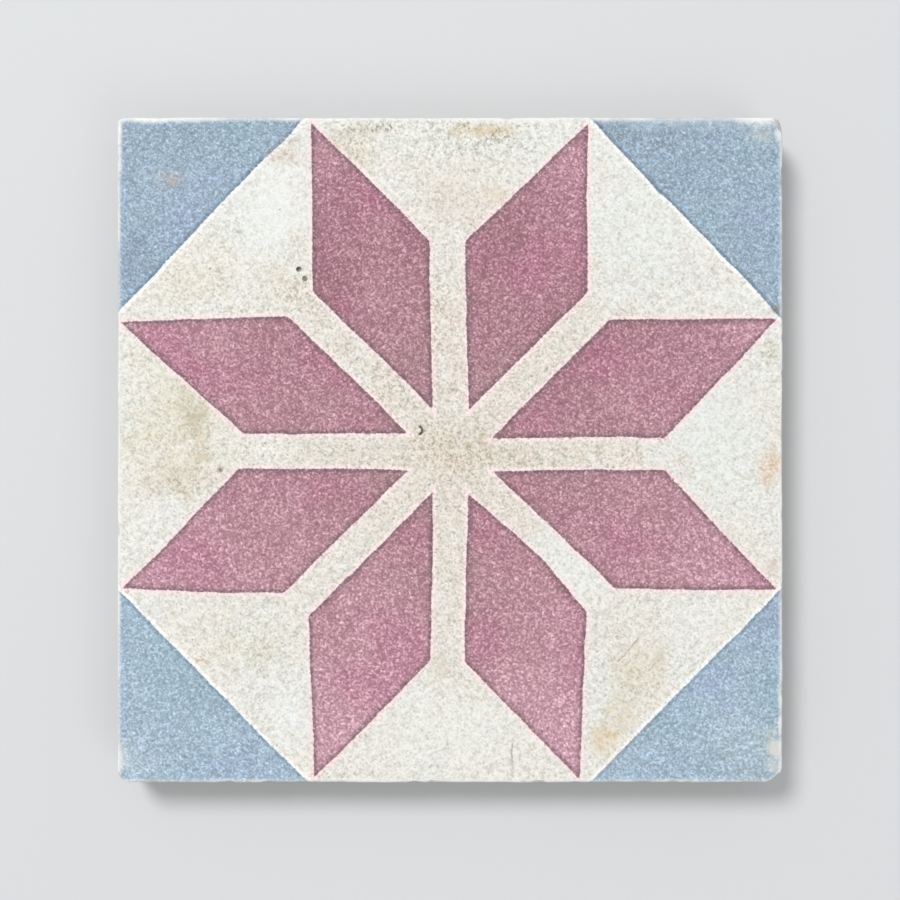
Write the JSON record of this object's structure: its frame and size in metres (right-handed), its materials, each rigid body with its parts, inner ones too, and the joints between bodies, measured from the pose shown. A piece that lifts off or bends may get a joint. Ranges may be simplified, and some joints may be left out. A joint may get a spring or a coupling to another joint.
{
  "type": "cement floor tile",
  "caption": "Square pressed cement tile with a flush inlaid eight-pointed star and corner triangles in rose, blue-grey and cream.",
  "frame": {"origin": "middle of the back, on the plane that the back rim rests on", "axes": "+Z out of the patterned wearing face; +X and +Y along the sides, +Y towards the top of the pattern as pictured"},
  "size_m": [0.2, 0.2, 0.02],
  "materials": {
    "tile": "matt pressed cement, pigmented in cream, rose and blue-grey"
  },
  "bodies": {
    "root": {"tile": "tile"}
  },
  "joints": []
}
